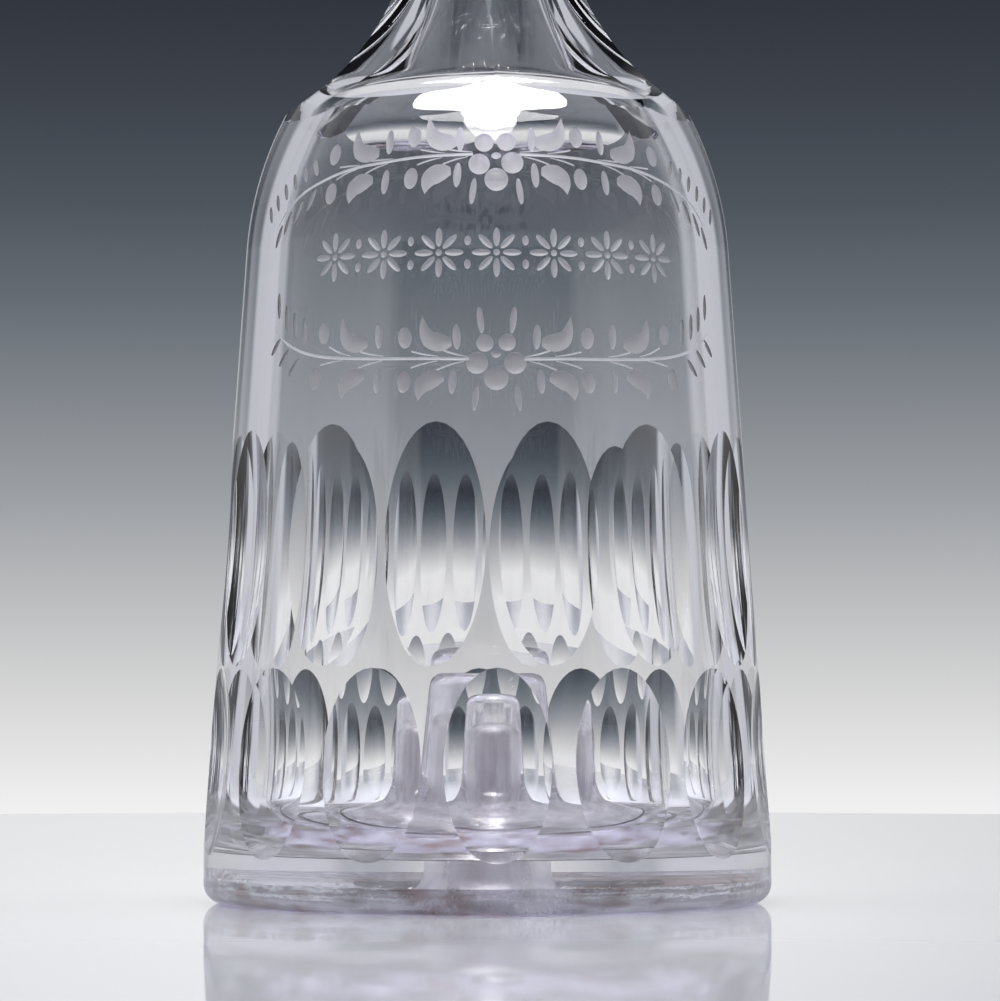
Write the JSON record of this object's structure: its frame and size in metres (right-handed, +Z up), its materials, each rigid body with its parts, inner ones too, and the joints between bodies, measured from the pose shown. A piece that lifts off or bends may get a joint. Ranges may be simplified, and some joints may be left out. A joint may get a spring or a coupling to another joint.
{
  "type": "bitters bottle",
  "caption": "Cut-glass bottle with oval facets, fluted neck and push-up base, closed by a cork-mounted metal dasher with a pull-off cap.",
  "frame": {"origin": "middle of the foot, on the table", "axes": "+Z up along the bottle's axis; the engraved side faces -Y; +X to the right of that side"},
  "size_m": [0.075, 0.075, 0.1818],
  "materials": {
    "clear_glass": "cut and polished lead glass, very faintly violet, engraved areas matt",
    "cork": "natural cork",
    "silver_plate": "polished silver plate, lightly worn",
    "plain_metal": "tinned metal, dull"
  },
  "bodies": {
    "bottle": {"glass_bottle": "clear_glass"},
    "stopper": {"cork_bung": "cork", "cork_washer": "plain_metal", "clamp_nut": "plain_metal", "pouring_tube": "plain_metal", "mount_plate": "silver_plate", "dasher_nozzle": "silver_plate"},
    "cap": {"nozzle_cap": "silver_plate"}
  },
  "joints": [
    {"name": "stopper_lift", "type": "slide", "parent": "bottle", "child": "stopper", "axis": [0, 0, 1], "range_m": [0, 0.045]},
    {"name": "cap_lift", "type": "slide", "parent": "stopper", "child": "cap", "axis": [0, 0, 1], "range_m": [0, 0.014]}
  ]
}
